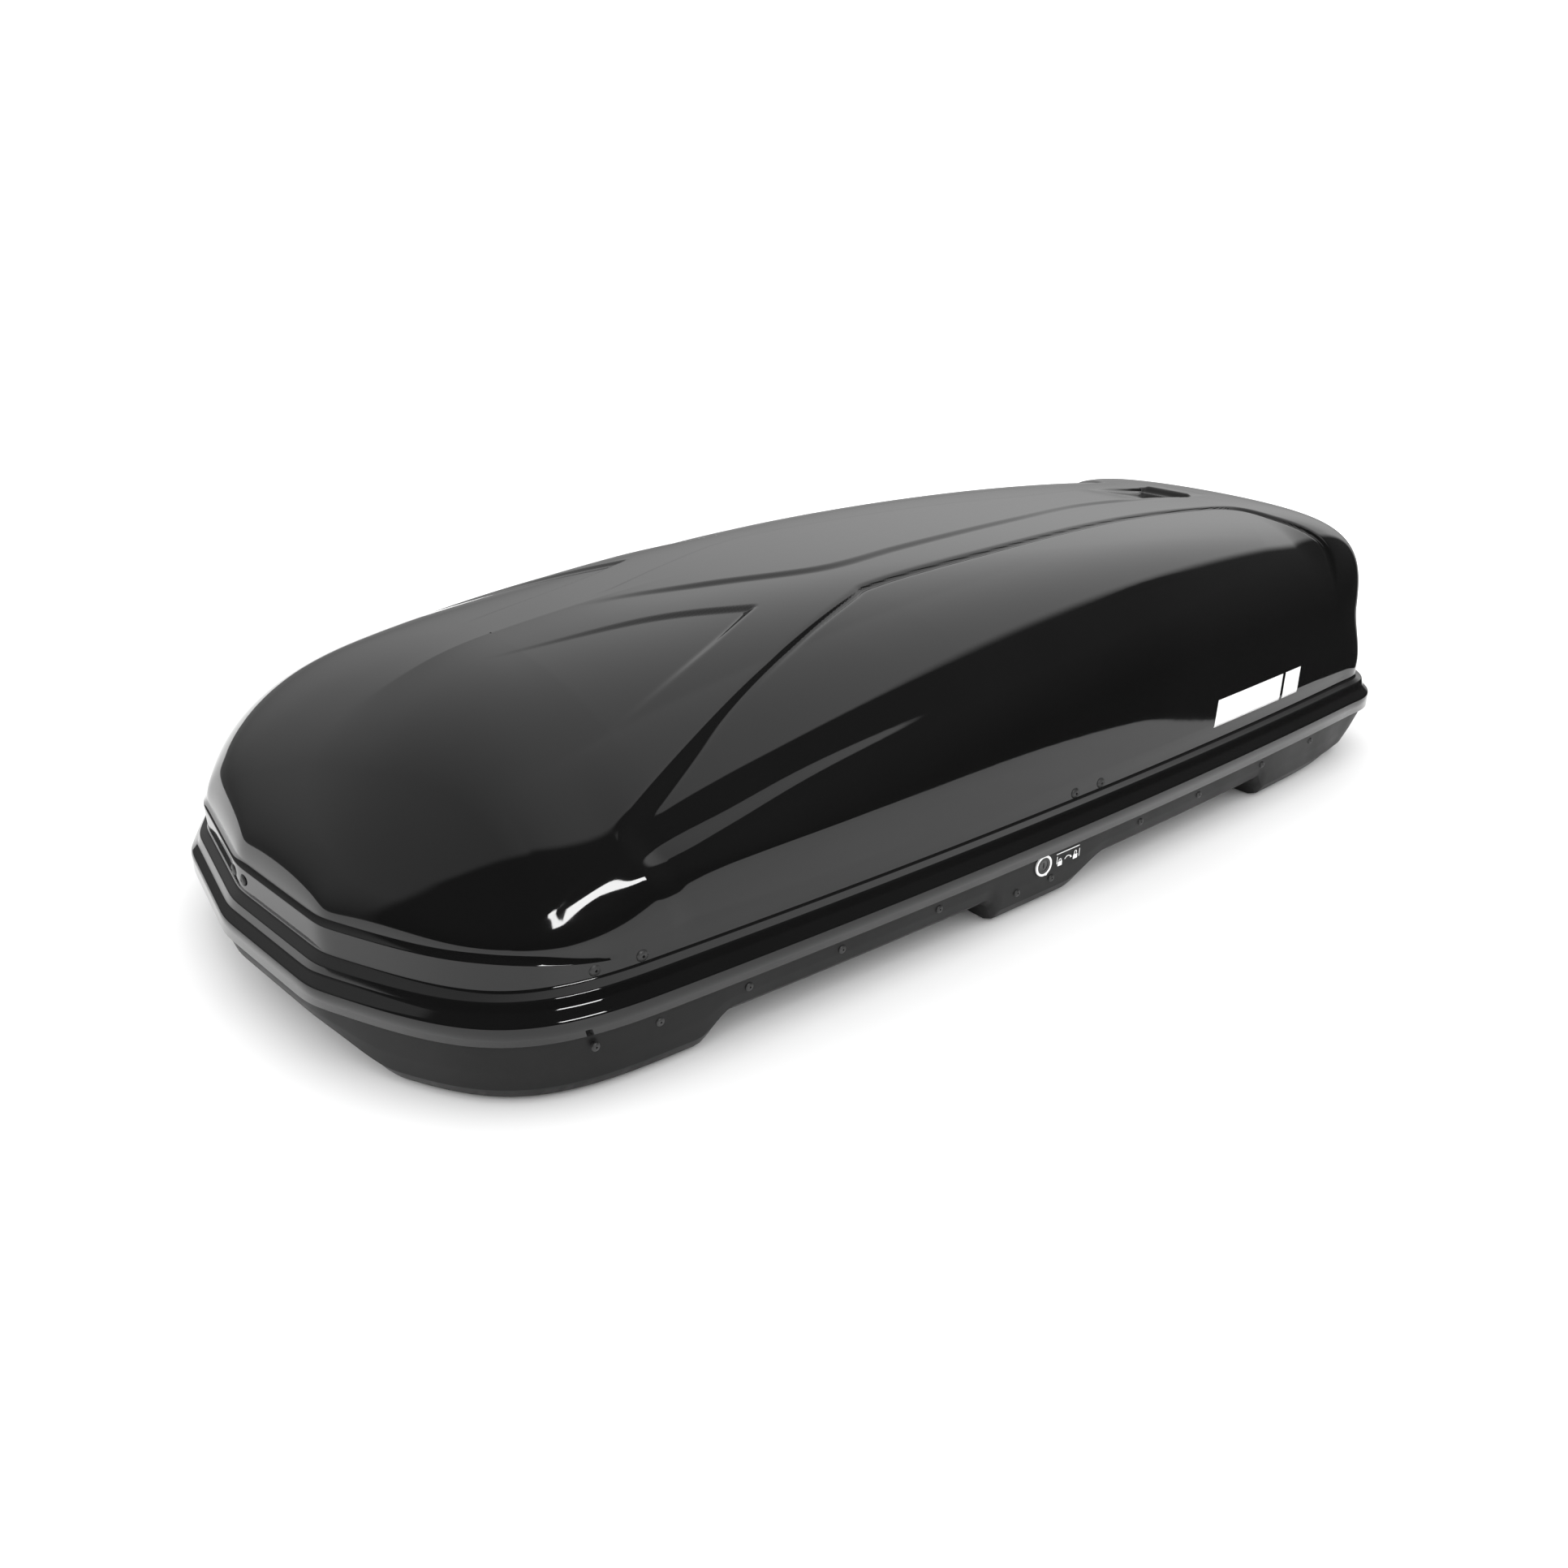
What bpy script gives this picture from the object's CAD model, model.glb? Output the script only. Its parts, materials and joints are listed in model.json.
"""Roof cargo box: smooth moulded shells, fittings, materials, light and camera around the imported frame.

Shell shapes are worked out in millimetres from the box's outline: s runs from the nose (0) to the
tail (1800), x is the distance from the middle and z the height above the seam.
"""
import json
import math

import bmesh
import bpy
import numpy as np
from mathutils import Matrix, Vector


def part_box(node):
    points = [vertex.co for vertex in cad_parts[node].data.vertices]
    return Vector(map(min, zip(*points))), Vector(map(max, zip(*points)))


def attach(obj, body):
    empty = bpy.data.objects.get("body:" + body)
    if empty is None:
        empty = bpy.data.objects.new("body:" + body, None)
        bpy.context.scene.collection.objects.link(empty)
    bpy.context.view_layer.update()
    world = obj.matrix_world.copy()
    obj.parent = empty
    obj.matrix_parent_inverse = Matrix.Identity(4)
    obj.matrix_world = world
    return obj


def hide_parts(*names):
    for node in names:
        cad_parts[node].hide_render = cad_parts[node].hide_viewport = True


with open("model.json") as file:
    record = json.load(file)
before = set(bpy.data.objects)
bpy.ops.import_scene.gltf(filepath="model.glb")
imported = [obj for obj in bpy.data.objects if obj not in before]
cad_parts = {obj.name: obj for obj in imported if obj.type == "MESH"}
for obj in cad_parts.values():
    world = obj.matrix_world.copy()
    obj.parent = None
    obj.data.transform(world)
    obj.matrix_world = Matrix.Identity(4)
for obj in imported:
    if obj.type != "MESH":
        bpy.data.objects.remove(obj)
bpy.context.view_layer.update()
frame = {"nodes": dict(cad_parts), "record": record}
SCENE = bpy.context.scene

# ---------------------------------------------------------------- camera
TARGET = np.array([0.0, -0.118, 0.057])
VIEW_AZIMUTH = math.radians(52.7)
VIEW_ELEVATION = math.radians(22.8)
VIEW_DISTANCE = 1.994
LENS = 32.0


def make_camera():
    data = bpy.data.cameras.new("camera")
    data.lens = LENS
    data.sensor_width = 36.0
    cam = bpy.data.objects.new("camera", data)
    flat = VIEW_DISTANCE * math.cos(VIEW_ELEVATION)
    cam.location = (
        TARGET[0] + flat * math.sin(VIEW_AZIMUTH),
        TARGET[1] - flat * math.cos(VIEW_AZIMUTH),
        TARGET[2] + VIEW_DISTANCE * math.sin(VIEW_ELEVATION),
    )
    cam.rotation_euler = (math.pi / 2 - VIEW_ELEVATION, 0, VIEW_AZIMUTH)
    SCENE.collection.objects.link(cam)
    SCENE.camera = cam


make_camera()

# ---------------------------------------------------------------- the box's dimensions, mm
MM = 0.001
BOX_LENGTH = 1800.0
SEAM_Z = 75.0
HALF_W = 431.0
WALL = 4.0
NOSE_PT = (200.0, 22.0)
CORNER_END = 300.0
SIDE_END = 1650.0
SIDE_TAPER = 79.0
TAIL_ROUND = (352.0, 150.0)
TAIL_POWER = 2.6
FLANGE_IN = 24.0
WALL_TOP = 72.0
SPINE = (350.0, 1560.0)
CREST_S = [0, 60, 100, 150, 200, 300, 400, 500, 650, 800, 1000, 1200, 1400, 1500, 1600, 1700, 1800]
CREST_Z = [195, 215, 226, 240, 253, 273, 288, 300, 313, 321, 326, 325, 318, 312, 304, 295, 280]
RIM_IN = 6.0
RIM_TOP = 16.0
FOOT = 75.0
CHANNEL = 45.0
FLOOR_IN = 26.0


# ---------------------------------------------------------------- small maths
def smooth(a, b, v):
    """0 up to a, 1 from b on, and an S-shaped rise between them."""
    t = np.clip((v - a) / (b - a), 0, 1)
    return t * t * (3 - 2 * t)


def curve(xs, ys, v):
    """Smooth curve through points, with slopes taken from the neighbours."""
    xs, ys = np.asarray(xs, float), np.asarray(ys, float)
    m = np.gradient(ys, xs)
    v = np.clip(v, xs[0], xs[-1])
    k = np.clip(np.searchsorted(xs, v, side="right") - 1, 0, len(xs) - 2)
    w = xs[k + 1] - xs[k]
    t = (v - xs[k]) / w
    return (
        (2 * t**3 - 3 * t**2 + 1) * ys[k]
        + (t**3 - 2 * t**2 + t) * w * m[k]
        + (3 * t**2 - 2 * t**3) * ys[k + 1]
        + (t**3 - t**2) * w * m[k + 1]
    )


def resample(points, count):
    """Points evenly spaced along a polyline."""
    run = np.r_[0, np.cumsum(np.linalg.norm(np.diff(points, axis=0), axis=1))]
    at = np.linspace(0, run[-1], count)
    return np.stack([np.interp(at, run, points[:, k]) for k in range(points.shape[1])], 1)


def filleted(points, radii, steps=5):
    """A polyline with its inner corners turned into arcs; radii holds one value per inner corner."""
    pts = [np.asarray(p, float) for p in points]
    out = [pts[0]]
    for a, b, c, r in zip(pts, pts[1:], pts[2:], radii):
        u, v = (a - b) / np.linalg.norm(a - b), (c - b) / np.linalg.norm(c - b)
        half = math.acos(np.clip(u @ v, -1, 1)) / 2
        cut = min(r / math.tan(half), 0.45 * np.linalg.norm(a - b), 0.45 * np.linalg.norm(c - b))
        for t in np.linspace(0, 1, steps):
            out.append((1 - t) ** 2 * (b + u * cut) + 2 * t * (1 - t) * b + t**2 * (b + v * cut))
    out.append(pts[-1])
    return np.array(out)


# ---------------------------------------------------------------- plan outline, right half
def side_x(s):
    """Half width of the long side, which narrows towards the tail."""
    return HALF_W - SIDE_TAPER * ((s - CORNER_END) / (SIDE_END - CORNER_END)) ** 2


def half_outline(count, soften=14.0):
    """Plan of the right half from nose to tail; soften is how far its corners are eased, in mm."""
    nose = np.outer(np.linspace(0, 1, 60), NOSE_PT)
    t = np.linspace(0, 1, 200)[1:, None]
    corner = (
        (1 - t) ** 3 * np.array(NOSE_PT)
        + 3 * t * (1 - t) ** 2 * np.array([370.0, 100.0])
        + 3 * t**2 * (1 - t) * np.array([HALF_W, 130.0])
        + t**3 * np.array([HALF_W, CORNER_END])
    )
    s = np.linspace(CORNER_END, SIDE_END, 500)[1:]
    side = np.stack([side_x(s), s], 1)
    a = np.linspace(0, np.pi / 2, 400)[1:]
    tail_x = TAIL_ROUND[0] * np.cos(a) ** (2 / TAIL_POWER)
    tail_s = SIDE_END + TAIL_ROUND[1] * np.sin(a) ** (2 / TAIL_POWER)
    tail = np.stack([tail_x, tail_s], 1)
    tail[-1, 0] = 0
    fine = resample(np.concatenate([nose, corner, side, tail]), 1200)
    step = np.linalg.norm(fine[1] - fine[0])
    reach = int(3 * soften / step)
    kernel = np.exp(-0.5 * (np.arange(-reach, reach + 1) * step / soften) ** 2)
    kernel /= kernel.sum()
    flip = np.array([-1, 1])
    padded = np.concatenate([fine[reach:0:-1] * flip, fine, fine[-2 : -reach - 2 : -1] * flip])
    eased = np.stack([np.convolve(padded[:, k], kernel, "valid") for k in (0, 1)], 1)
    eased[0, 0] = eased[-1, 0] = 0
    eased[:, 1] = np.clip(eased[:, 1], 0.2, BOX_LENGTH - 0.2)
    return resample(eased, count)


def inset(outline, d):
    """The outline moved inwards by d, one value or one per point."""
    tangent = np.gradient(outline, axis=0)
    tangent /= np.linalg.norm(tangent, axis=1)[:, None]
    inner = outline - np.stack([tangent[:, 1], -tangent[:, 0]], 1) * np.broadcast_to(d, len(outline))[:, None]
    inner[0, 0] = inner[-1, 0] = 0
    inner[:, 0] = np.maximum(inner[:, 0], 0)
    return inner


def crest(s):
    """Height of the lid's middle line above the seam."""
    return curve(CREST_S, CREST_Z, s)


# ---------------------------------------------------------------- creases and grooves of the lid
CHART_R = 330.0


def chart(x, s, z):
    """Flat map of the lid's side: distance from the nose, and arc around the box."""
    return s, CHART_R * np.arctan2(z, np.abs(x))


def feature(points, per_span=10):
    """A smooth line through chart points, as a chain of short straight pieces."""
    p = np.array(points, float)
    ends = np.concatenate([[2 * p[0] - p[1]], p, [2 * p[-1] - p[-2]]])
    out = []
    for a, b, c, d in zip(ends, ends[1:], ends[2:], ends[3:]):
        for t in np.arange(per_span) / per_span:
            square = (2 * a - 5 * b + 4 * c - d) * t**2
            cube = (3 * b - a - 3 * c + d) * t**3
            out.append(0.5 * (2 * b + (c - a) * t + square + cube))
    out.append(p[-1])
    return np.array(out)


def to_line(chain, u, q):
    """Signed distance to a chain (positive on its right) and the run along it, for chart points."""
    shape = u.shape
    pts = np.stack([u.ravel(), q.ravel()], 1)
    best = np.full(len(pts), 1e9)
    signed = np.zeros(len(pts))
    along = np.zeros(len(pts))
    run = 0.0
    for a, b in zip(chain, chain[1:]):
        ab = b - a
        length = np.linalg.norm(ab)
        ap = pts - a
        t = np.clip(ap @ ab / length**2, 0, 1)
        off = ap - t[:, None] * ab
        dist = np.linalg.norm(off, axis=1)
        near = dist < best
        side = np.sign(ap[:, 1] * ab[0] - ap[:, 0] * ab[1])
        best[near] = dist[near]
        signed[near] = -(side * dist)[near]
        along[near] = (run + t * length)[near]
        run += length
    return signed.reshape(shape), along.reshape(shape), run


# edge of the side panel on the chart: up from the front corner, along the roof, round the rear corner
PANEL_EDGE = [
    (295, 140), (530, 250), (735, 333), (800, 352), (1010, 366), (1290, 389),
    (1460, 392), (1570, 381), (1604, 322), (1632, 265), (1627, 215), (1604, 145),
]
# side profile, by distance from the nose: where the wall ends, the ledge's foot and the shoulder edge
STEP_S = [215, 285, 330, 430, 500, 740, 960, 1200, 1300]
STEP_WALL = [92, 104, 112, 130, 142, 168, 186, 198, 200]
STEP_FOOT = [98, 116, 127, 141, 152, 181, 217, 244, 246]
STEP_EDGE = [124, 138, 147, 166, 176, 204, 222, 248, 250]
STEP_BULGE = [0, 4, 9, 11, 10, 5, 2, 0, 0]
STEP_LEDGE = [0, 0, 6.5, 7.5, 6.5, 4, 2.6, 1.4, 0]
WALL_FOOT = 58.0
# the hood recess on the chart: its upper edge, and its lower edge from the same tip
RECESS_TOP = [(240, 510), (320, 446), (510, 412), (625, 370)]
RECESS_LOW = [(625, 370), (520, 317), (335, 235)]
RECESS_DEPTH = 4.6
# half width of the raised roof, by distance from the nose
PLATEAU_S = [440, 520, 620, 770, 900, 1150, 1300, 1500, 1600]
PLATEAU_X = [0, 18, 54, 100, 92, 68, 48, 50, 42]
SPINE_HEIGHT = 3.8
ROOF_DIP = 11.0


def lid_relief(x, s, z):
    """How far the lid's skin stands out (+) or in (-) from its plain form, in mm."""
    u, q = chart(x, s, z)
    relief = np.zeros_like(x)

    # side panel, sunk behind a step that is tall at its front corner and a thin groove on the roof
    d, run, total = to_line(feature(PANEL_EDGE), u, q)
    front = 1 - smooth(40, 420, run)
    ends = smooth(-5, 30, run) * (1 - smooth(total - 90, total - 5, run))
    width = 2.5 + 8.0 * front
    sunk = (2.4 + 6.4 * front) * smooth(-width, width, d) * np.exp(-((np.maximum(d, 0) / 95.0) ** 2))
    groove = 3.4 * (1 - front) * np.exp(-((d / 3.8) ** 2))
    relief -= ends * (sunk + groove)

    # wall, ledge, steep strip and shoulder edge along the side
    wall, foot, edge, bulge, ledge = (
        curve(STEP_S, values, u) for values in (STEP_WALL, STEP_FOOT, STEP_EDGE, STEP_BULGE, STEP_LEDGE)
    )
    knots = [WALL_FOOT + 0 * u, WALL_FOOT + 44 + 0 * u, wall, foot, edge, edge + 90]
    heights = [0 * u, 0.95 * bulge, 1.05 * bulge, 1.05 * bulge - ledge, 0.95 * bulge, 0 * u]
    steps = np.zeros_like(x)
    for q0, q1, h0, h1 in zip(knots, knots[1:], heights, heights[1:]):
        inside = (q > q0) & (q <= q1)
        steps = np.where(inside, h0 + (h1 - h0) * (q - q0) / np.maximum(q1 - q0, 1), steps)
    for _ in range(2):
        steps[1:-1] = 0.25 * steps[:-2] + 0.5 * steps[1:-1] + 0.25 * steps[2:]
    relief += steps

    # triangular recess on each side of the hood
    top, _, _ = to_line(feature(RECESS_TOP), u, q)
    low, _, _ = to_line(feature(RECESS_LOW), u, q)
    within = smooth(-3, 3, top) * smooth(-5, 5, low)
    relief -= RECESS_DEPTH * within * smooth(300, 600, s)

    # ridge down the hood that widens into a raised spine along the roof
    across = np.abs(x)
    half = curve(PLATEAU_S, PLATEAU_X, s)
    spine = smooth(450, 640, s) * (1 - smooth(1560, 1640, s))
    relief += SPINE_HEIGHT * spine * (1 - smooth(-5, 7, across - half))
    ridge = smooth(170, 300, s) * (1 - smooth(450, 640, s))
    relief += SPINE_HEIGHT * ridge * np.exp(-across / 55.0)

    # roof sinks before the step at the spine's rear end
    ramp = smooth(1395, 1568, s) * (1 - smooth(1572, 1583, s))
    relief -= ROOF_DIP * ramp * (1 - smooth(42, 52, across))
    return relief


# ---------------------------------------------------------------- lid surface
def lid_grid(columns, rows, flange_steps=5):
    """Outer skin of the lid's right half: an array [row, column, (x, s, z)] from skirt to spine."""
    outline = half_outline(columns)
    s_out = outline[:, 1]
    nose = 1 - smooth(110, 300, s_out)
    side_profile = filleted(
        [(0, 0), (0, 21), (10, 31), (13, 42), (FLANGE_IN, 47.5), (FLANGE_IN, 60), (FLANGE_IN, WALL_TOP)],
        [7, 9, 4, 5, 3],
        flange_steps,
    )
    nose_profile = filleted(
        [(0, 0), (0, 21), (10, 31), (13, 42), (FLANGE_IN, 47.5), (FLANGE_IN - 1, 80), (FLANGE_IN + 4, 86)],
        [7, 9, 4, 5, 3],
        flange_steps,
    )
    layers = []
    for a, b in zip(side_profile, nose_profile):
        d = a[0] + (b[0] - a[0]) * nose
        ring = inset(outline, d)
        layers.append(np.column_stack([ring, a[1] + (b[1] - a[1]) * nose]))
    start_in = FLANGE_IN + 4 * nose
    start_z = WALL_TOP + (86 - WALL_TOP) * nose
    edge = inset(outline, start_in)
    soft = inset(half_outline(columns, 60.0), start_in)
    spine = np.stack([0 * s_out, np.clip(edge[:, 1], *SPINE)], 1)
    rear = smooth(1560, 1740, edge[:, 1])
    power = (2.3 + 2.0 * smooth(150, 1500, edge[:, 1])) * (1 - rear) + 5.5 * rear
    lean = (0.03 + 0.09 * smooth(200, 1500, edge[:, 1])) * (1 - rear) + 0.04 * rear
    tail_back = 30 * smooth(1350, 1750, edge[:, 1])
    turn = (np.pi / 2) * np.linspace(0, 1, 320) ** 3
    body = np.zeros((rows, columns, 3))
    for i in range(columns):
        g = np.cos(turn) ** (2 / power[i])
        h = np.sin(turn) ** (2 / power[i])
        eased = edge[i] + smooth(0, 0.4, h)[:, None] * (soft[i] - edge[i])
        xy = spine[i] + (g * (1 - lean[i] * h))[:, None] * (eased - spine[i])
        s = xy[:, 1] + tail_back[i] * h * g
        z = start_z[i] + (crest(s) - 0.00012 * xy[:, 0] ** 2 - start_z[i]) * h
        body[:, i] = resample(np.stack([xy[:, 0], s, z], 1), rows)
    return np.concatenate([np.array(layers), body[1:]])


def grid_normals(grid):
    """Unit normals of a grid of points, pointing outwards."""
    rows, cols = np.gradient(grid, axis=0), np.gradient(grid, axis=1)
    n = np.cross(cols, rows)
    length = np.linalg.norm(n, axis=2)
    n /= np.maximum(length, 1e-9)[:, :, None]
    n[length < 1e-6] = (0, 0, 1)
    return n


def place(p):
    """From (x, s, z above the seam) in mm to the frame in metres."""
    out = np.array(p, float) * MM
    out[..., 1] -= BOX_LENGTH * MM / 2
    out[..., 2] += SEAM_Z * MM
    return out


def mirrored_mesh(grids):
    """Vertices and faces of right-half grids and their mirror images, welded down the middle."""
    verts, faces = [], []
    for grid, turned in grids:
        rows, cols = grid.shape[:2]
        for side in (1, -1):
            base = sum(len(v) for v in verts)
            pts = grid.reshape(-1, 3).copy()
            pts[:, 0] *= side
            verts.append(place(pts))
            r, c = np.meshgrid(np.arange(rows - 1), np.arange(cols - 1), indexing="ij")
            a = (r * cols + c).ravel() + base
            quad = np.stack([a, a + 1, a + cols + 1, a + cols], 1)
            faces.append(quad if (side > 0) != turned else quad[:, ::-1])
    return np.concatenate(verts), np.concatenate(faces)


def new_object(name, verts, faces, material, weld=0.0):
    """A mesh object in metres; points closer than weld are joined."""
    mesh = bpy.data.meshes.new(name)
    mesh.from_pydata([tuple(v) for v in verts], [], [tuple(int(k) for k in f) for f in faces])
    if weld:
        bm = bmesh.new()
        bm.from_mesh(mesh)
        bmesh.ops.remove_doubles(bm, verts=bm.verts, dist=weld)
        bmesh.ops.dissolve_degenerate(bm, edges=bm.edges, dist=1e-6)
        bm.to_mesh(mesh)
        bm.free()
    mesh.validate()
    mesh.polygons.foreach_set("use_smooth", [True] * len(mesh.polygons))
    obj = bpy.data.objects.new(name, mesh)
    SCENE.collection.objects.link(obj)
    mesh.materials.append(material)
    return obj


def settle(obj, body, slot, *nodes):
    """Say which body a piece rides on, its material slot and the CAD nodes it stands for."""
    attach(obj, body)
    if nodes:
        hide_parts(*nodes)
    return obj


# ---------------------------------------------------------------- materials
class Paint:
    """A Principled material with helpers that vary it over the surface."""

    def __init__(self, name, color, rough, metallic=0.0, **sockets):
        self.mat = bpy.data.materials.new(name)
        self.mat.use_nodes = True
        self.mat.diffuse_color = (*color, 1)
        self.nodes = self.mat.node_tree.nodes
        self.links = self.mat.node_tree.links
        self.shader = self.nodes["Principled BSDF"]
        self.shader.inputs["Base Color"].default_value = (*color, 1)
        self.shader.inputs["Roughness"].default_value = rough
        self.shader.inputs["Metallic"].default_value = metallic
        for key, value in sockets.items():
            self.shader.inputs[key.replace("_", " ")].default_value = value
        self.coords = self.nodes.new("ShaderNodeTexCoord").outputs["Object"]
        self.color = color
        self.rough = rough

    def noise(self, scale, detail=4.0, stretch=(1, 1, 1), rough=0.55):
        mapping = self.nodes.new("ShaderNodeMapping")
        mapping.inputs["Scale"].default_value = stretch
        self.links.new(self.coords, mapping.inputs["Vector"])
        tex = self.nodes.new("ShaderNodeTexNoise")
        tex.inputs["Scale"].default_value = scale
        tex.inputs["Detail"].default_value = detail
        tex.inputs["Roughness"].default_value = rough
        self.links.new(mapping.outputs["Vector"], tex.inputs["Vector"])
        return tex.outputs["Fac"]

    def spread(self, source, low, high, start=0.3, end=0.7):
        ramp = self.nodes.new("ShaderNodeMapRange")
        ramp.inputs["From Min"].default_value = start
        ramp.inputs["From Max"].default_value = end
        ramp.inputs["To Min"].default_value = low
        ramp.inputs["To Max"].default_value = high
        self.links.new(source, ramp.inputs["Value"])
        return ramp.outputs["Result"]

    def vary_rough(self, source, low, high, start=0.3, end=0.7):
        self.links.new(self.spread(source, low, high, start, end), self.shader.inputs["Roughness"])
        return self

    def vary_color(self, source, dark, light, start=0.3, end=0.7):
        ramp = self.nodes.new("ShaderNodeValToRGB")
        ramp.color_ramp.elements[0].position = start
        ramp.color_ramp.elements[0].color = (*dark, 1)
        ramp.color_ramp.elements[1].position = end
        ramp.color_ramp.elements[1].color = (*light, 1)
        self.links.new(source, ramp.inputs["Fac"])
        self.links.new(ramp.outputs["Color"], self.shader.inputs["Base Color"])
        return self

    def bump(self, source, distance, strength=1.0):
        node = self.nodes.new("ShaderNodeBump")
        node.inputs["Distance"].default_value = distance
        node.inputs["Strength"].default_value = strength
        self.links.new(source, node.inputs["Height"])
        before = self.shader.inputs["Normal"].links
        if before:
            self.links.new(before[0].from_socket, node.inputs["Normal"])
        self.links.new(node.outputs["Normal"], self.shader.inputs["Normal"])
        return self


def grey(v, tint=0.0):
    return (v * (1 + tint), v, v * (1 - tint))


def lid_gloss():
    p = Paint("lid_gloss", grey(0.004), 0.05, IOR=1.5)
    p.vary_rough(p.noise(7, 5), 0.03, 0.07)
    p.vary_color(p.noise(3, 3), grey(0.0032), grey(0.0045))
    p.bump(p.noise(26, 2), 0.0006, 0.06)
    return p.mat


def tray_plastic():
    p = Paint("tray_plastic", grey(0.008), 0.42, Specular_IOR_Level=0.22)
    p.vary_rough(p.noise(9, 6), 0.36, 0.5)
    p.vary_color(p.noise(5, 6), grey(0.006), grey(0.011))
    p.bump(p.noise(900, 2), 0.0004, 0.3)
    return p.mat


def liner_plastic():
    p = Paint("liner_plastic", grey(0.03), 0.5)
    p.vary_rough(p.noise(12, 5), 0.42, 0.6)
    p.vary_color(p.noise(6, 5), grey(0.024), grey(0.036))
    p.bump(p.noise(700, 3), 0.0004, 0.4)
    return p.mat


def zinc_steel():
    p = Paint("zinc_steel", (0.56, 0.58, 0.6), 0.34, metallic=1.0)
    p.vary_rough(p.noise(140, 4, (1, 0.12, 1)), 0.26, 0.48)
    p.vary_color(p.noise(24, 5), (0.45, 0.47, 0.5), (0.63, 0.64, 0.66))
    p.bump(p.noise(400, 3, (1, 0.1, 1)), 0.0002, 0.3)
    return p.mat


def black_steel():
    p = Paint("black_steel", grey(0.022), 0.4)
    p.vary_rough(p.noise(30, 4), 0.33, 0.5)
    p.vary_color(p.noise(18, 4), grey(0.018), grey(0.03))
    p.bump(p.noise(1200, 2), 0.0003, 0.35)
    return p.mat


def rod_chrome():
    p = Paint("rod_chrome", grey(0.75), 0.12, metallic=1.0)
    p.vary_rough(p.noise(60, 4, (1, 1, 0.1)), 0.08, 0.2)
    p.vary_color(p.noise(20, 3), grey(0.68), grey(0.78))
    p.bump(p.noise(900, 2, (1, 1, 0.05)), 0.0001, 0.2)
    return p.mat


def lock_metal():
    p = Paint("lock_metal", grey(0.12), 0.3, metallic=1.0)
    p.vary_rough(p.noise(200, 4), 0.22, 0.42)
    p.vary_color(p.noise(120, 4), grey(0.08), grey(0.16))
    p.bump(p.noise(1500, 2), 0.0001, 0.3)
    return p.mat


def white_print():
    p = Paint("white_print", grey(0.84), 0.38)
    p.vary_rough(p.noise(60, 4), 0.3, 0.46)
    p.vary_color(p.noise(40, 5), grey(0.8), grey(0.88))
    p.bump(p.noise(700, 2), 0.0001, 0.25)
    return p.mat


def black_plastic(name, value, grain):
    p = Paint(name, grey(value), 0.4)
    p.vary_rough(p.noise(50, 4), 0.32, 0.5)
    p.vary_color(p.noise(30, 4), grey(value * 0.75), grey(value * 1.3))
    p.bump(p.noise(grain, 2), 0.0003, 0.35)
    return p.mat


def webbing():
    p = Paint("webbing", grey(0.022), 0.75)
    p.shader.inputs["Sheen Weight"].default_value = 0.35
    for direction, scale in (("X", 260), ("Y", 420)):
        wave = p.nodes.new("ShaderNodeTexWave")
        wave.bands_direction = direction
        wave.inputs["Scale"].default_value = scale
        wave.inputs["Distortion"].default_value = 0.6
        p.links.new(p.coords, wave.inputs["Vector"])
        p.bump(wave.outputs["Fac"], 0.0005, 0.7)
    p.vary_color(p.noise(500, 3), grey(0.014), grey(0.04))
    p.vary_rough(p.noise(90, 3), 0.65, 0.85)
    return p.mat


def floor_paint():
    p = Paint("floor_paint", grey(0.86), 0.55)
    p.vary_rough(p.noise(3, 3), 0.5, 0.62)
    p.vary_color(p.noise(2, 3), grey(0.85), grey(0.87))
    return p.mat


PAINTS = {
    "lid_gloss": lid_gloss(),
    "tray_plastic": tray_plastic(),
    "liner_plastic": liner_plastic(),
    "zinc_steel": zinc_steel(),
    "black_steel": black_steel(),
    "rod_chrome": rod_chrome(),
    "lock_metal": lock_metal(),
    "white_mark": white_print(),
    "black_plastic": black_plastic("black_plastic", 0.024, 900),
    "grip_plastic": black_plastic("grip_plastic", 0.036, 500),
    "rivet_plastic": black_plastic("rivet_plastic", 0.02, 1200),
    "webbing": webbing(),
    "thread": black_plastic("thread", 0.09, 800),
    "floor": floor_paint(),
}


def paint_cad_nodes():
    slots = {row["node"]: row["material_slot"] for row in frame["record"]["subparts"]}
    for name, obj in frame["nodes"].items():
        obj.data.materials.clear()
        obj.data.materials.append(PAINTS[slots[name]])


paint_cad_nodes()


# ---------------------------------------------------------------- lid
COLUMNS = 640
BODY_ROWS = 190
LINER_EVERY = (4, 5)
WELD = 0.0001


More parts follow.
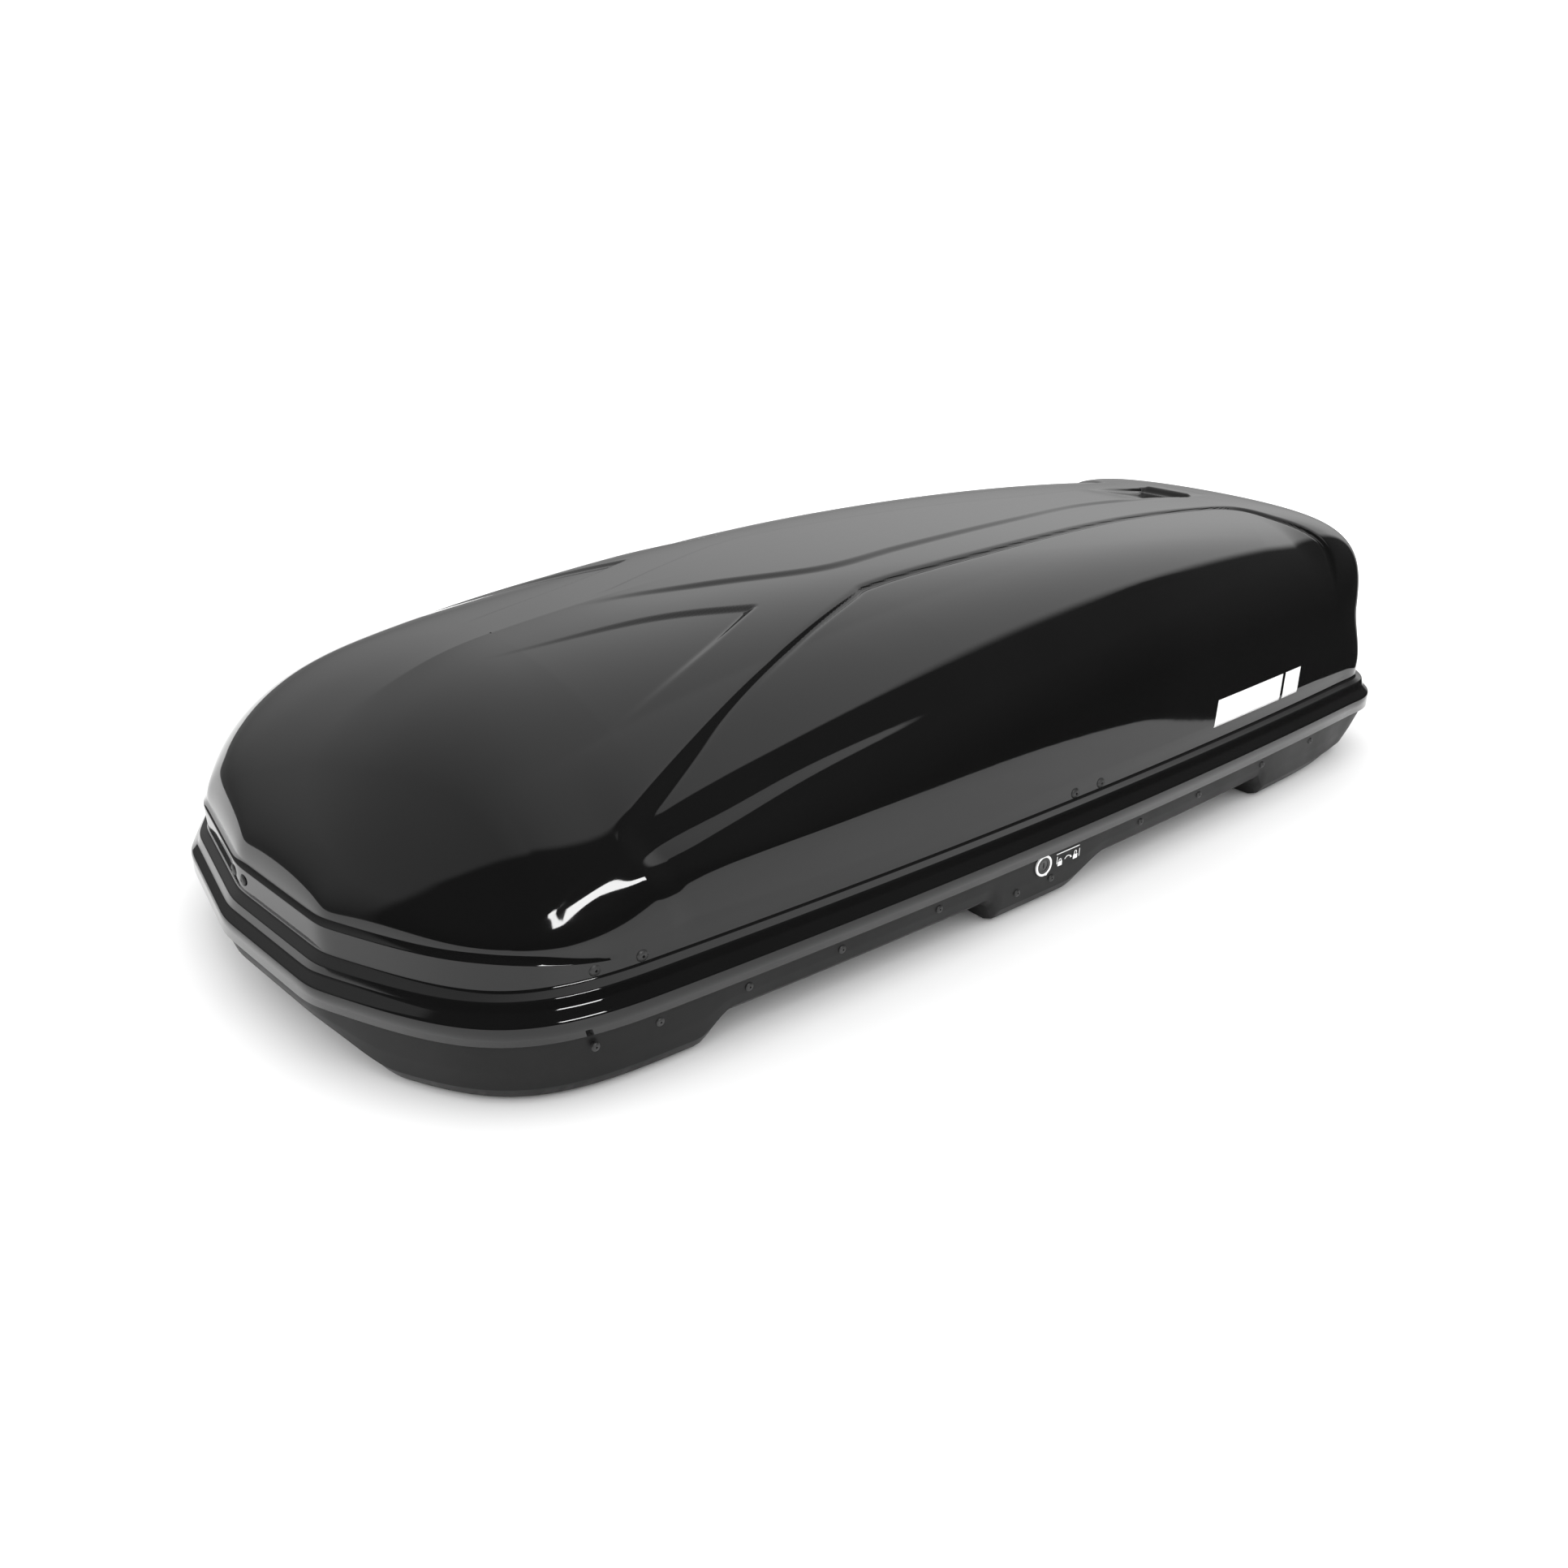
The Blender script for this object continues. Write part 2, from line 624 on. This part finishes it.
def make_lid():
    """The glossy skin with its rolled-in rim, and the coarser matt liner behind it."""
    grid = lid_grid(COLUMNS, BODY_ROWS)
    normals = grid_normals(grid)
    relief = lid_relief(grid[..., 0], grid[..., 1], grid[..., 2])
    relief[:, [0, -1]] = relief[:, [1, -2]]
    skin = grid + normals * (relief * smooth(62, 80, grid[..., 2]))[..., None]
    skin[:, [0, -1], 0] = 0
    skin[-1, :, 0] = 0
    outline = half_outline(COLUMNS)
    inner_wall = [np.column_stack([inset(outline, WALL), np.full(COLUMNS, z)]) for z in (18.0, 8.0, 0.0)]
    shell = np.concatenate([np.array(inner_wall), skin])
    verts, faces = mirrored_mesh([(shell, False)])
    lid = new_object("lid_skin", verts, faces, PAINTS["lid_gloss"], weld=WELD)
    settle(lid, "lid", "lid_gloss", "lid_shell")

    row_step, col_step = LINER_EVERY
    cols = np.r_[np.arange(0, COLUMNS - 1, col_step), COLUMNS - 1]
    rows = np.r_[np.arange(row_step, len(skin) - 1, row_step), len(skin) - 1]
    inner = (skin - normals * WALL)[np.ix_(rows, cols)]
    inner[:, [0, -1], 0] = 0
    inner[:, :, 0] = np.maximum(inner[:, :, 0], 0)
    inner[-1, :, 0] = 0
    low = np.column_stack([inset(outline, WALL)[cols], np.full(len(cols), 16.0)])
    inner = np.concatenate([[low], inner])
    verts, faces = mirrored_mesh([(inner, True)])
    liner = new_object("lid_liner", verts, faces, PAINTS["liner_plastic"], weld=WELD)
    settle(liner, "lid", "lid_gloss", "lid_shell")
    return skin, normals


LID_SKIN, LID_NORMALS = make_lid()


# ---------------------------------------------------------------- tray
def tray_depth(x, s):
    """Depth of the tray's floor: full at the feet, shallow over the crossbars and under the nose."""
    front = smooth(350, 395, s) * (1 - smooth(786, 800, s))
    rear = smooth(930, 1015, s) * (1 - smooth(1384, 1400, s))
    channel = front + rear
    tunnel = (1 - smooth(185, 285, np.abs(x))) * (1 - smooth(120, 330, s))
    return (FOOT - (FOOT - CHANNEL) * channel) * (1 - 0.54 * tunnel)


def tail_in(s):
    """How far the tray's floor stops short of the lid's tail."""
    return 34 * smooth(1560, 1720, s)


def tray_grid(columns, thick):
    """One face of the tray's right half; thick is 0 outside and the wall's thickness inside."""
    outline = half_outline(columns)
    profile = filleted(
        [(0, 0), (0, 0.1), (1.6, 0.45), (5, 0.76), (13, 0.93), (FLOOR_IN, 1.0), (FLOOR_IN + 30, 1.0)],
        [0.1, 6, 6, 6, 10],
        4,
    )[:-1]
    floor_rings = 46
    rows = [np.column_stack([inset(outline, RIM_IN + thick), np.full(columns, RIM_TOP)])]
    for d, f in profile:
        ring = inset(outline, RIM_IN + d + thick)
        x, s = ring[:, 0], ring[:, 1]
        s_in = s - tail_in(s) * f
        x_in = x * (1 - 0.03 * f * smooth(1500, 1700, s))
        rows.append(np.column_stack([x_in, s_in, -f * (tray_depth(x, s_in) - thick)]))
    edge = rows[-1][:, :2]
    centre = np.stack([0 * edge[:, 0], np.clip(edge[:, 1], *SPINE)], 1)
    for g in np.linspace(1, 0, floor_rings)[1:]:
        ring = centre + g * (edge - centre)
        beads = 0
        for at in (0, 70, 140):
            bead = np.exp(-(((np.abs(ring[:, 0]) - at) / 9.0) ** 2))
            beads = beads + bead * smooth(1430, 1460, ring[:, 1]) * (1 - smooth(1600, 1640, ring[:, 1]))
        rows.append(np.column_stack([ring, -(tray_depth(ring[:, 0], ring[:, 1]) - thick) + 2.5 * beads]))
    grid = np.array(rows)
    grid[:, [0, -1], 0] = 0
    grid[-1, :, 0] = 0
    return grid


def cut_boxes(obj, boxes):
    """Cut box-shaped and round slots through a shell."""
    bm = bmesh.new()
    for centre, size, round_axis in boxes:
        if round_axis:
            made = bmesh.ops.create_cone(
                bm, cap_ends=True, segments=32, radius1=size[1] / 2, radius2=size[1] / 2, depth=size[0]
            )
            bmesh.ops.rotate(
                bm, verts=made["verts"], cent=(0, 0, 0),
                matrix=Matrix(((0, 0, 1), (0, 1, 0), (-1, 0, 0))),
            )
        else:
            made = bmesh.ops.create_cube(bm, size=1)
            bmesh.ops.scale(bm, verts=made["verts"], vec=size)
        bmesh.ops.translate(bm, verts=made["verts"], vec=centre)
    cutter_mesh = bpy.data.meshes.new("cutter")
    bm.to_mesh(cutter_mesh)
    bm.free()
    cutter = bpy.data.objects.new("cutter", cutter_mesh)
    SCENE.collection.objects.link(cutter)
    mod = obj.modifiers.new("cut", "BOOLEAN")
    mod.object = cutter
    mod.operation = "DIFFERENCE"
    mod.solver = "EXACT"
    graph = bpy.context.evaluated_depsgraph_get()
    cut = bpy.data.meshes.new_from_object(obj.evaluated_get(graph))
    obj.modifiers.clear()
    obj.data = cut
    bpy.data.objects.remove(cutter)


TRAY_COLUMNS = 300
CLAW_SLOT = (0.024, 0.009, 0.02)
CLAW_SLOT_Z = 0.032
CLAW_SPREAD = 0.048
LOCK_BORE_X = 0.41
LOCK_BORE_LENGTH = 0.06


def make_tray():
    """The moulded tray, with slots for the clamp claws and a hole for the lock."""
    outer, inner = tray_grid(TRAY_COLUMNS, 0.0), tray_grid(TRAY_COLUMNS, WALL)
    rim = np.stack([inner[0], outer[0]])
    verts, faces = mirrored_mesh([(outer, True), (inner, False), (rim, True)])
    tray = new_object("tray_skin", verts, faces, PAINTS["tray_plastic"], weld=WELD)
    slots = []
    for name in ("front_left", "front_right", "rear_left", "rear_right"):
        low, high = (np.array(v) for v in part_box("clamp_claw_" + name))
        mid = (low + high) / 2
        for side in (-1, 1):
            slots.append(((mid[0], mid[1] + side * CLAW_SPREAD, CLAW_SLOT_Z), CLAW_SLOT, False))
    low, high = (np.array(v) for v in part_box("lock_housing"))
    mid = (low + high) / 2
    bore = high[2] - low[2] + MM
    slots.append(((LOCK_BORE_X, mid[1], mid[2]), (LOCK_BORE_LENGTH, bore, 0), True))
    cut_boxes(tray, slots)
    settle(tray, "base", "tray_plastic", "base_tray")


make_tray()


# ---------------------------------------------------------------- latch rail
RAIL_RELIEF = (0.024, 0.028, 0.06)
FOLD_SOFTENING = 0.0003


def make_rail():
    """The folded rail with softened edges; its flanges are relieved at the nose end, clear of the wall."""
    source = frame["nodes"]["lock_rail"]
    verts = np.array([source.matrix_world @ v.co for v in source.data.vertices])
    faces = [tuple(p.vertices) for p in source.data.polygons]
    rail = new_object("latch_rail", verts, faces, source.data.materials[0], weld=WELD / 10)
    end_y = verts[:, 1].min()
    end_x = verts[verts[:, 1] < end_y + 0.002, 0].max()
    mid_z = (verts[:, 2].min() + verts[:, 2].max()) / 2
    cut_boxes(rail, [((end_x + 0.003, end_y + 0.010, mid_z), RAIL_RELIEF, False)])
    bm = bmesh.new()
    bm.from_mesh(rail.data)
    bmesh.ops.dissolve_limit(bm, angle_limit=0.01, verts=bm.verts, edges=bm.edges)
    sharp = [e for e in bm.edges if len(e.link_faces) == 2 and e.calc_face_angle() > 0.5]
    bmesh.ops.bevel(bm, geom=sharp, offset=FOLD_SOFTENING, segments=2, affect="EDGES", clamp_overlap=True)
    bmesh.ops.triangulate(bm, faces=bm.faces)
    bm.to_mesh(rail.data)
    bm.free()
    rail.data.polygons.foreach_set("use_smooth", [False] * len(rail.data.polygons))
    slots = {row["node"]: row["material_slot"] for row in frame["record"]["subparts"]}
    settle(rail, "base", slots["lock_rail"], "lock_rail")


make_rail()


# ---------------------------------------------------------------- printed badge and lock label
WALL_ROWS = 90


def on_lid(s, z):
    """A point of the lid's side wall and its outward normal."""
    column = int(np.argmin(np.abs(LID_SKIN[12, :, 1] - s) + 1e6 * (LID_SKIN[12, :, 0] < 100)))
    near = slice(column - 6, column + 7)
    wall, wall_normals = LID_SKIN[:WALL_ROWS, near], LID_NORMALS[:WALL_ROWS, near]

    def at_height(values):
        columns = range(wall.shape[1])
        return np.array([[np.interp(z, wall[:, k, 2], values[:, k, c]) for c in range(3)] for k in columns])

    at, nn = at_height(wall), at_height(wall_normals)
    order = np.argsort(at[:, 1])
    p = [np.interp(s, at[order, 1], at[order, c]) for c in range(3)]
    n = [np.interp(s, at[order, 1], nn[order, c]) for c in range(3)]
    return np.array(p), np.array(n)


BADGE_BLOCKS = [(1262, 176), (1446, 44)]
BADGE_LOW = 68.0
BADGE_TALL = 36.0
BADGE_SLANT = 14.0


def make_badge(side):
    """Two plain slanted blocks that follow the wall, 0.5 mm proud."""
    verts, faces = [], []
    tall = 8
    for start, length in BADGE_BLOCKS:
        long = max(6, int(length / 4))
        base = len(verts)
        count = (long + 1) * (tall + 1)
        layers = [[], []]
        for j in range(tall + 1):
            for i in range(long + 1):
                s = start + length * i / long + BADGE_SLANT * j / tall
                p, n = on_lid(s, BADGE_LOW + BADGE_TALL * j / tall)
                rim = i in (0, long) or j in (0, tall)
                layers[0].append(p + n * (0.2 if rim else 0.5))
                layers[1].append(p - n * 0.6)
        verts += layers[0] + layers[1]
        w = long + 1
        for j in range(tall):
            for i in range(long):
                a = base + j * w + i
                quad = (a, a + 1, a + w + 1, a + w)
                faces.append(quad)
                faces.append(tuple(k + count for k in quad[::-1]))
        ring = list(range(long)) + [j * w + long for j in range(tall)]
        ring += [tall * w + i for i in range(long, 0, -1)] + [j * w for j in range(tall, 0, -1)]
        for a, b in zip(ring, ring[1:] + ring[:1]):
            faces.append((base + a, base + a + count, base + b + count, base + b))
    pts = np.array(verts)
    pts[:, 0] *= side
    if side < 0:
        faces = [face[::-1] for face in faces]
    badge = new_object("badge_" + ("left" if side > 0 else "right"), place(pts), faces, PAINTS["white_mark"])
    settle(badge, "lid", "white_mark", "side_badges")


for badge_side in (1, -1):
    make_badge(badge_side)


def ring_band(cu, cv, radius, width, start, end, steps=16):
    """Quads of an arc band in the label's plane; angles in degrees."""
    quads = []
    angles = np.radians(np.linspace(start, end, steps + 1))
    for a, b in zip(angles, angles[1:]):
        quads.append(
            [(cu + r * math.cos(t), cv + r * math.sin(t)) for r, t in
             ((radius, a), (radius + width, a), (radius + width, b), (radius, b))]
        )
    return quads


def bar(u0, v0, u1, v1):
    return [(u0, v0), (u1, v0), (u1, v1), (u0, v1)]


def padlock(u, v, lift):
    """Body, two shackle legs and the bow of a small padlock sign."""
    legs = [bar(u - 2.6, v + 6, u - 1.7, v + 7.6 + lift)]
    legs.append(bar(u + 1.7, v + 6 + (1.2 if lift else 0), u + 2.6, v + 7.6 + lift))
    return [bar(u - 4, v, u + 4, v + 6)] + legs + ring_band(u, v + 7.6 + lift, 1.7, 0.9, 0, 180, 10)


def make_lock_label():
    """Printed signs beside the lock: shut and open padlocks, a turn arrow and a line above them."""
    low, high = (np.array(v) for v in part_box("lock_label"))
    centre = (low + high) / 2
    polys = [bar(-25, 9.2, 20, 10.4)]
    polys += padlock(-17, -8, 0) + padlock(13, -7, 1.6)
    polys += ring_band(-2, -5, 6.2, 1.0, 35, 150, 14)
    polys += [[(3.2, -2.8), (6.2, -2.2), (3.4, 1.2)], bar(-23.5, -4.5, -22.6, 6), bar(20.5, -6, 21.4, 5)]
    verts, faces = [], []
    lean, yaw = math.sin(math.radians(2.0)), math.sin(math.radians(3.0))
    face = high[0] * 1000 - 28 * yaw - 13 * lean
    for poly in polys:
        base = len(verts)
        for depth in (-0.7, -0.1):
            for u, v in poly:
                out = face + depth + v * lean - u * yaw
                verts.append((out * MM, centre[1] + u * MM, centre[2] + v * MM))
        n = len(poly)
        faces.append(tuple(range(base + n, base + 2 * n)))
        faces.append(tuple(range(base + n - 1, base - 1, -1)))
        faces += [(base + i, base + (i + 1) % n, base + n + (i + 1) % n, base + n + i) for i in range(n)]
    label = new_object("lock_signs", verts, faces, PAINTS["white_mark"])
    label.data.polygons.foreach_set("use_smooth", [False] * len(label.data.polygons))
    settle(label, "base", "white_mark", "lock_label")


make_lock_label()


# ---------------------------------------------------------------- luggage straps
STITCH_PITCH = 3.2


def make_strap(node):
    """Flat webbing with thick selvedges lying on the tray floor, box-stitched near both ends."""
    low, high = (np.array(v) * 1000 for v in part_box(node))
    width, length = high[1] - low[1], high[0] - low[0]
    mid_y, base = (low[1] + high[1]) / 2, low[2]
    half = width / 2
    profile = [
        (-half, 0.5), (-half + 0.5, 0.05), (-half + 2.2, 0.0), (0, 0.1),
        (half - 2.2, 0.0), (half - 0.5, 0.05), (half, 0.5), (half, 1.1),
        (half - 0.5, 1.5), (half - 2.2, 1.6), (half - 3.2, 1.35), (0, 1.3),
        (-half + 3.2, 1.35), (-half + 2.2, 1.6), (-half + 0.5, 1.5), (-half, 1.1),
    ]
    stations = 160
    verts, faces = [], []
    n = len(profile)
    for k in range(stations + 1):
        t = k / stations
        wave = 0.06 * math.sin(37 * t) + 0.05 * math.sin(91 * t + 1)
        for y, z in profile:
            verts.append((low[0] + length * t, mid_y + y + 0.12 * math.sin(23 * t), base + 0.12 + z + wave))
    for k in range(stations):
        for i in range(n):
            a, b = k * n + i, k * n + (i + 1) % n
            faces.append((a, b, b + n, a + n))
    faces.append(tuple(range(n - 1, -1, -1)))
    faces.append(tuple(range(stations * n, stations * n + n)))
    name = node.replace("luggage_", "")
    strap = new_object(name, np.array(verts) * MM, faces, PAINTS["webbing"])
    settle(strap, "base", "webbing", node)

    thread_verts, thread_faces = [], []

    def thread(x0, y0, x1, y1):
        """One raised stitch between two points of the strap."""
        along = np.array([x1 - x0, y1 - y0]) / math.hypot(x1 - x0, y1 - y0)
        across = np.array([-along[1], along[0]]) * 0.35
        base_index = len(thread_verts)
        z0, z1 = base + 1.35, base + 1.85
        for z, grow in ((z0, 0.0), (z1, -0.12)):
            for end, sign in (((x0, y0), 1), ((x1, y1), -1)):
                for edge in (1, -1):
                    q = np.array(end) - along * grow * sign + across * edge * (1 + grow)
                    thread_verts.append((q[0], mid_y + q[1], z))
        for face in ((4, 5, 7, 6), (0, 1, 5, 4), (2, 6, 7, 3), (0, 4, 6, 2), (1, 3, 7, 5)):
            thread_faces.append(tuple(base_index + f for f in face))

    for side in (-1, 1):
        inner, outer = side * (length / 2 - 38), side * (length / 2 - 14)
        corners = [(inner, -8), (outer, -8), (outer, 8), (inner, 8)]
        lines = list(zip(corners, corners[1:] + corners[:1]))
        lines += [(corners[0], corners[2]), (corners[1], corners[3])]
        for (xa, ya), (xb, yb) in lines:
            count = max(2, int(math.hypot(xb - xa, yb - ya) / STITCH_PITCH))
            for k in range(count):
                f0, f1 = (k + 0.14) / count, (k + 0.86) / count
                thread(xa + (xb - xa) * f0, ya + (yb - ya) * f0, xa + (xb - xa) * f1, ya + (yb - ya) * f1)
    stitches = new_object(name + "_stitches", np.array(thread_verts) * MM, thread_faces, PAINTS["thread"])
    settle(stitches, "base", "webbing")


for strap_node in ("luggage_strap_front", "luggage_strap_rear"):
    make_strap(strap_node)


# ---------------------------------------------------------------- floor, light, world
FLOOR_X = (-2.6, 2.1)
FLOOR_Y = (-2.6, 1.25)


def make_floor():
    """The pale studio floor, just under the feet."""
    (x0, x1), (y0, y1) = FLOOR_X, FLOOR_Y
    verts = [(x0, y0, 0), (x1, y0, 0), (x1, y1, 0), (x0, y1, 0)]
    floor = new_object("floor", verts, [(0, 1, 2, 3)], PAINTS["floor"])
    floor.location.z = -0.0005


def area_light(name, location, target, size, power):
    """A rectangular light at a place, turned to face the target; size is (level, upright)."""
    data = bpy.data.lights.new(name, "AREA")
    data.shape = "RECTANGLE"
    data.size, data.size_y = size
    data.energy = power
    light = bpy.data.objects.new(name, data)
    light.location = location
    aim = np.array(target, float) - np.array(location, float)
    light.rotation_euler = (
        math.acos(-aim[2] / np.linalg.norm(aim)),
        0,
        math.atan2(-aim[0], aim[1]),
    )
    SCENE.collection.objects.link(light)
    return light


def compass(azimuth):
    """Level direction at an angle from the nose towards the lock side, in degrees."""
    return (math.sin(math.radians(azimuth)), -math.cos(math.radians(azimuth)), 0)


DARK_FRONT = 60.0
DARK_SIDE = 130.0
BRIGHT_SIDE = 178.0
DARK_LEVEL = 0.07
PLAIN_LEVEL = 1.7


def make_world():
    """White studio; mirrored in the gloss it is dark on the camera's side and brightest behind the tail."""
    world = bpy.data.worlds.new("studio")
    SCENE.world = world
    world.use_nodes = True
    nodes, links = world.node_tree.nodes, world.node_tree.links
    back = nodes["Background"]
    coords = nodes.new("ShaderNodeTexCoord")

    def towards(azimuth):
        node = nodes.new("ShaderNodeVectorMath")
        node.operation = "DOT_PRODUCT"
        node.inputs[1].default_value = compass(azimuth)
        links.new(coords.outputs["Generated"], node.inputs[0])
        return node.outputs["Value"]

    def ramp(source, low, high, a, b, kind="SMOOTHSTEP"):
        node = nodes.new("ShaderNodeMapRange")
        node.interpolation_type = kind
        for key, value in (("From Min", low), ("From Max", high), ("To Min", a), ("To Max", b)):
            node.inputs[key].default_value = value
        links.new(source, node.inputs["Value"])
        return node.outputs["Result"]

    def combine(operation, a, b):
        node = nodes.new("ShaderNodeMath")
        node.operation = operation
        links.new(a, node.inputs[0])
        links.new(b, node.inputs[1])
        return node.outputs["Value"]

    bright = ramp(towards(BRIGHT_SIDE), -0.3, 0.9, 0.45, 1.5, "LINEAR")
    front_shade = ramp(towards(DARK_FRONT), 0.24, 0.31, 1.0, DARK_LEVEL)
    side_shade = ramp(towards(DARK_SIDE), 0.47, 0.56, 1.0, DARK_LEVEL)
    shade = combine("MINIMUM", front_shade, side_shade)
    split = nodes.new("ShaderNodeSeparateXYZ")
    links.new(coords.outputs["Generated"], split.inputs["Vector"])
    low_dim = ramp(split.outputs["Z"], 0.0, 0.42, 0.3, 1.0, "LINEAR")
    mirrored = combine("MULTIPLY", combine("MULTIPLY", bright, low_dim), shade)
    path = nodes.new("ShaderNodeLightPath")
    plain = ramp(path.outputs["Is Glossy Ray"], 0, 1, PLAIN_LEVEL, 0, "LINEAR")
    in_gloss = combine("MULTIPLY", mirrored, path.outputs["Is Glossy Ray"])
    links.new(combine("ADD", plain, in_gloss), back.inputs["Strength"])
    back.inputs["Color"].default_value = (1, 1, 1, 1)


SOFTBOX_AWAY = 2.6
SOFTBOX_LIFT = math.radians(25)
SOFTBOX_AZIMUTH = 91.0
SOFTBOX_BASE = np.array([0.0, -0.65, 0.2])
SOFTBOX_TARGET = (0.39, -0.65, 0.2)


def make_softbox():
    """Small bright softbox low on the lock side, for the streaks on the front corner."""
    aim = np.array(compass(SOFTBOX_AZIMUTH)) * math.cos(SOFTBOX_LIFT)
    aim[2] = math.sin(SOFTBOX_LIFT)
    spot = SOFTBOX_BASE + SOFTBOX_AWAY * aim
    lamp = area_light("softbox", spot, SOFTBOX_TARGET, (0.82, 0.46), 26.0)
    lamp.visible_diffuse = False


make_floor()
make_world()
make_softbox()
SCENE.view_settings.view_transform = "Standard"
